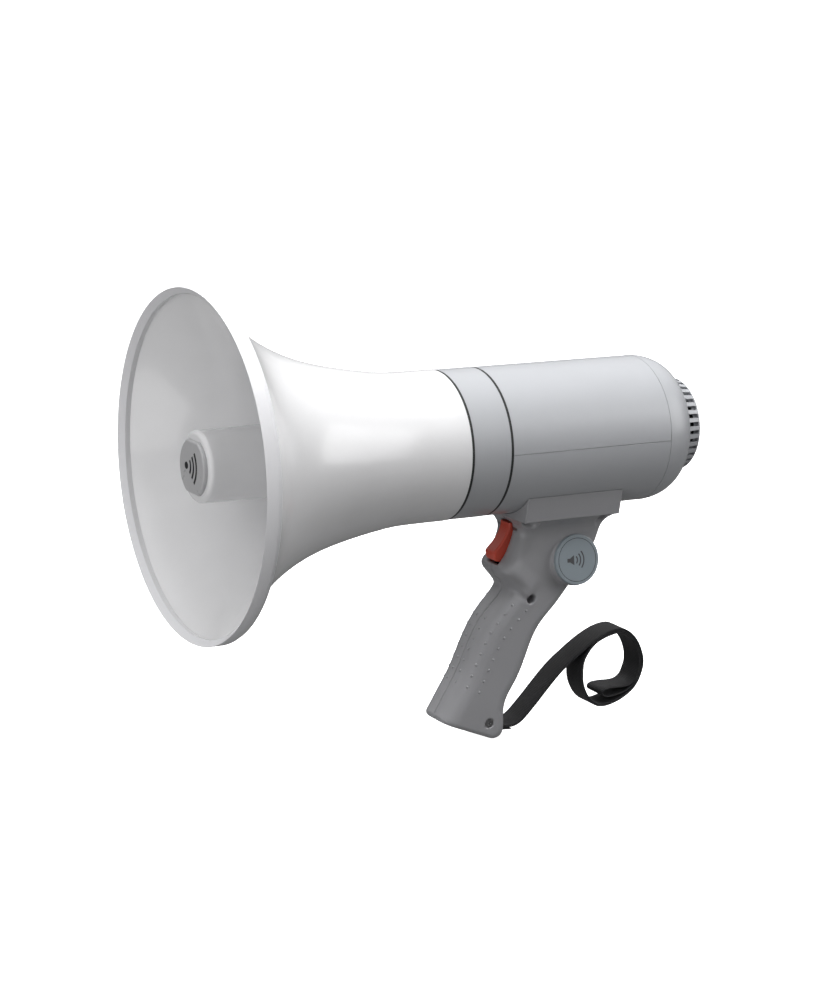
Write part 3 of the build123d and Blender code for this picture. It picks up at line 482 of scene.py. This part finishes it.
DISC_TILT = math.radians(9)
disc_low, disc_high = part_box("label_disc")
disc_out = Vector((0, -math.cos(DISC_TILT), math.sin(DISC_TILT)))
disc_up = Vector((0, math.sin(DISC_TILT), math.cos(DISC_TILT)))
DISC_HALF_THICKNESS = 1.08 * MM
disc_face = (disc_low + disc_high) / 2 + disc_out * DISC_HALF_THICKNESS
PRINT = {
    "origin": disc_face,
    "across": (1, 0, 0),
    "up": disc_up,
    "thickness": 0.12 * MM,
    "material": "knob_grey",
    "slot": "disc_slate",
}
DISC_RING_RADII = (14.0 * MM, 13.6 * MM)
DISC_WAVE_RADII = (3.4, 5.8, 8.2)
DISC_WAVE_WIDTH = 0.9 * MM
SIGN_SHIFT = -3.4 * MM
# (across, up) in millimetres, of a loudspeaker seen from its side.
LOUDSPEAKER = [(-4.0, -1.2), (-2.0, -1.2), (1.0, -3.2), (1.0, 3.2), (-2.0, 1.2), (-4.0, 1.2)]
plate("disc_ring", circle(DISC_RING_RADII[0]), circle(DISC_RING_RADII[1]), **PRINT)
for number, radius in enumerate(DISC_WAVE_RADII):
    wave = sound_wave(radius * MM, DISC_WAVE_WIDTH, SIGN_SHIFT)
    plate(f"disc_wave_{number}", wave, None, **PRINT)
plate("disc_horn", [(u * MM + SIGN_SHIFT, v * MM) for u, v in LOUDSPEAKER], None, **PRINT)

POINTER_SIZE = (1.2 * MM, 6.5 * MM, 0.3 * MM)  # width, length and cut corner
POINTER_OUT = 8.0 * MM
knob_low, knob_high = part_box("volume_knob")
knob_face = ((knob_low.x + knob_high.x) / 2, knob_high.y, (knob_low.z + knob_high.z) / 2)
pointer = [(u, v + POINTER_OUT) for u, v in clipped(*POINTER_SIZE)]
plate(
    "knob_pointer", pointer, None, knob_face, (-1, 0, 0), (0, 0, 1), 0.15 * MM,
    "horn_white", "knob_grey", body="volume_knob",
)

# ---- Hand strap --------------------------------------------------------------------------------------

WEB_WIDTH = 19.0 * MM
WEB_THICKNESS = 0.8 * MM
LAYER_OFFSET = 0.44 * MM  # of each layer of the doubled webbing from its middle line
WEB_EDGE = 0.5 * MM  # the rounded part of each edge
WEB_RIBS = 7  # points across each flat face
TURN_PITCH = 1.8 * MM
LINE_SPACING = 1.2 * MM
BEND_SPACING = 1.0 * MM
SMOOTHING_ROUNDS = 3
COIL_CENTRE = np.array((0.2984, -0.1571))
RUN = [
    (0.2055, -0.1812), (0.212, -0.184), (0.220, -0.186), (0.2283, -0.1843), (0.2378, -0.1759),
    (0.2570, -0.1560), (0.2702, -0.1457), (0.2828, -0.1376),
]
COIL = [
    (0.2943, -0.1326), (0.3055, -0.1318), (0.3151, -0.1386), (0.3208, -0.1493), (0.3218, -0.1587),
    (0.3172, -0.1700), (0.3090, -0.1767), (0.2984, -0.1807), (0.2887, -0.1810), (0.2814, -0.1759),
    (0.2764, -0.1666), (0.2753, -0.1576), (0.2766, -0.1482),
]
SPLIT = (0.3187, -0.1627)  # where the two layers part
FOLD = [
    (0.3174, -0.1678), (0.3113, -0.1731), (0.3031, -0.1755), (0.2949, -0.1760), (0.2908, -0.1737),
    (0.2923, -0.1711), (0.2984, -0.1704), (0.3072, -0.1708), (0.3133, -0.1699), (0.3170, -0.1665),
]
CUT_END = [(0.2225, -0.1878), (0.2120, -0.1868), (0.2065, -0.1845)]


def inward(spot):
    """The same spot on the roll's next turn."""
    to_centre = COIL_CENTRE - spot
    return np.array(spot) + TURN_PITCH * to_centre / np.linalg.norm(to_centre)


def beside(points, distance):
    """The same line moved to its left."""
    p = np.array(points)
    ahead = np.gradient(p, axis=0)
    ahead /= np.linalg.norm(ahead, axis=1)[:, None]
    return p + distance * np.stack([-ahead[:, 1], ahead[:, 0]], axis=1)


def webbing(name, line):
    """Flat webbing that follows a line of (x, z) points, with soft edges and a UV map in millimetres."""
    half, thick = WEB_WIDTH / 2, WEB_THICKNESS / 2
    flat = half - 2 * MM
    shoulder, cheek = (half - WEB_EDGE, thick), (half - WEB_EDGE / 5, thick * 0.6)
    edge = [shoulder, cheek, (half, 0), (cheek[0], -cheek[1]), (shoulder[0], -shoulder[1])]
    profile = list(edge)
    profile += [(y, -thick) for y in np.linspace(flat, -flat, WEB_RIBS)]
    profile += [(-y, -z) for y, z in edge]
    profile += [(y, thick) for y in np.linspace(-flat, flat, WEB_RIBS)]
    ahead = np.gradient(line, axis=0)
    ahead /= np.linalg.norm(ahead, axis=1)[:, None]
    left = np.stack([-ahead[:, 1], ahead[:, 0]], axis=1)
    n, verts, faces = len(profile), [], []
    for (x, z), (lx, lz) in zip(line, left):
        verts += [(x + lx * t, y, z + lz * t) for y, t in profile]
    for i in range(len(line) - 1):
        for k in range(n):
            m = (k + 1) % n
            faces.append((i * n + k, i * n + m, (i + 1) * n + m, (i + 1) * n + k))
    faces.append(tuple(range(n)))
    faces.append(tuple(reversed(range((len(line) - 1) * n, len(line) * n))))
    obj = piece(name, verts, faces, "strap_black", smooth_angle=60)
    run = np.concatenate([[0], np.cumsum(np.linalg.norm(np.diff(line, axis=0), axis=1))])
    uv = obj.data.uv_layers.new(name="webbing")
    for loop in obj.data.loops:
        station, k = divmod(loop.vertex_index, n)
        uv.data[loop.index].uv = (profile[k][0] / MM, run[station] / MM)
    return obj


second_turn = [inward(spot) for spot in [RUN[-1], *COIL[:5]]]
middle = curve_through([*RUN, *COIL, *second_turn, SPLIT], LINE_SPACING)
outer, inner = beside(middle, LAYER_OFFSET), beside(middle, -LAYER_OFFSET)
fold = curve_through(FOLD, BEND_SPACING)
cut_end = curve_through(CUT_END, BEND_SPACING)
INNER_SHORTER = 4  # points: the inner layer ends a little before the outer one
back_run = inner[::-1][:-INNER_SHORTER]
strap_line = evenly(np.vstack([cut_end, outer, fold, back_run]), LINE_SPACING)
for _ in range(SMOOTHING_ROUNDS):
    strap_line[1:-1] = (strap_line[:-2] + 2 * strap_line[1:-1] + strap_line[2:]) / 4
strap = webbing("strap_webbing", strap_line)
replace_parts(strap, "hand_strap")

# ---- Studio ------------------------------------------------------------------------------------------


def aim(obj, place, target):
    """Puts an object in a place with its -Z side towards a target."""
    obj.location = place
    obj.rotation_mode = "QUATERNION"
    obj.rotation_quaternion = (Vector(target) - Vector(place)).to_track_quat("-Z", "Y")


def softbox(name, place, target, width, height, watts):
    """A rectangular area lamp."""
    lamp = bpy.data.lights.new(name, "AREA")
    lamp.shape, lamp.size, lamp.size_y, lamp.energy = "RECTANGLE", width, height, watts
    obj = bpy.data.objects.new(name, lamp)
    scene.collection.objects.link(obj)
    aim(obj, place, target)
    return obj


BARREL = (0.17, 0.0, 0.0)
MOUTH = (0.0, 0.0, 0.0)
PANEL = (0.8, 0.8)
softbox("overhead", (0.15, 0.0, 1.25), BARREL, 1.6, 0.6, watts=25)
mouth_side = softbox("mouth_side", (-1.2, -0.6, 0.35), MOUTH, *PANEL, watts=5.0)
mouth_side.visible_glossy = False
softbox("mouth_front", (-1.3, 0.25, 0.1), MOUTH, *PANEL, watts=1.5)
softbox("mouth_low", (-1.1, -0.3, -0.5), MOUTH, *PANEL, watts=3.2)
softbox("rear", (1.3, -0.7, 0.35), BARREL, *PANEL, watts=5.8)

# The sky's light comes in two smooth ramps over the height of the direction, -1 below to 1 above:
# from, to, strength before and strength after.
LOW_GLOW = (-0.7, 0.1, 0.177, 0.0)
HIGH_GLOW = (-0.1, 0.7, 0.0, 0.6)

world = bpy.data.worlds.new("studio")
scene.world = world
world.use_nodes = True
tree = world.node_tree
place = tree.nodes.new("ShaderNodeTexCoord")
split = tree.nodes.new("ShaderNodeSeparateXYZ")
total = tree.nodes.new("ShaderNodeMath")
total.operation = "ADD"
tree.links.new(place.outputs["Generated"], split.inputs["Vector"])
for number, (start, end, at_start, at_end) in enumerate((LOW_GLOW, HIGH_GLOW)):
    fade = tree.nodes.new("ShaderNodeMapRange")
    fade.interpolation_type = "SMOOTHSTEP"
    fade.inputs["From Min"].default_value = start
    fade.inputs["From Max"].default_value = end
    fade.inputs["To Min"].default_value = at_start
    fade.inputs["To Max"].default_value = at_end
    tree.links.new(split.outputs["Z"], fade.inputs["Value"])
    tree.links.new(fade.outputs["Result"], total.inputs[number])
tree.nodes["Background"].inputs["Color"].default_value = (1, 1, 1, 1)
tree.links.new(total.outputs["Value"], tree.nodes["Background"].inputs["Strength"])

# A pale floor with a pale dome over it. The camera sees them, but they throw no light on the object.
FLOOR_RADIUS = 20.0
FLOOR_GAP = 2 * MM
FLOOR_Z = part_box("handle_left")[0].z - FLOOR_GAP
CENTRE = (0, 0, FLOOR_Z)
bpy.ops.mesh.primitive_circle_add(vertices=96, radius=FLOOR_RADIUS, fill_type="NGON", location=CENTRE)
floor = bpy.context.object
floor.name = "floor"
bpy.ops.mesh.primitive_uv_sphere_add(segments=96, ring_count=48, radius=FLOOR_RADIUS, location=CENTRE)
dome = bpy.context.object
dome.name = "dome"
white = bpy.data.materials.new("studio_white")
white_shader = Shader(white)
white_shader.surface.inputs["Base Color"].default_value = (0.9, 0.9, 0.9, 1)
white_shader.surface.inputs["Roughness"].default_value = 0.9
white_shader.surface.inputs["Specular IOR Level"].default_value = 0.0
white_shader.surface.inputs["Emission Color"].default_value = (1, 1, 1, 1)
white_shader.surface.inputs["Emission Strength"].default_value = 1.0
for backdrop in (floor, dome):
    backdrop.data.materials.append(white)
    backdrop.visible_diffuse = False
    backdrop.visible_glossy = False
    backdrop.visible_shadow = False

# ---- Camera ------------------------------------------------------------------------------------------

EYE = Vector((-0.63357, -1.39934, 0.33317))
BACK = Vector((-0.47918, -0.84893, 0.22297)).normalized()  # from the object to the eye
RIGHT = Vector((0.87309, -0.48706, 0.02217)).normalized()
LENS = 96.07
SHIFT_UP = 0.001
camera_data = bpy.data.cameras.new("camera")
camera_data.lens = LENS
camera_data.shift_y = SHIFT_UP
camera_data.sensor_width = 36.0
camera = bpy.data.objects.new("camera", camera_data)
scene.collection.objects.link(camera)
UP = BACK.cross(RIGHT)
camera.matrix_world = Matrix.Translation(EYE) @ Matrix((RIGHT, UP, BACK)).transposed().to_4x4()
scene.camera = camera

scene.view_settings.view_transform = "Standard"
scene.view_settings.look = "None"
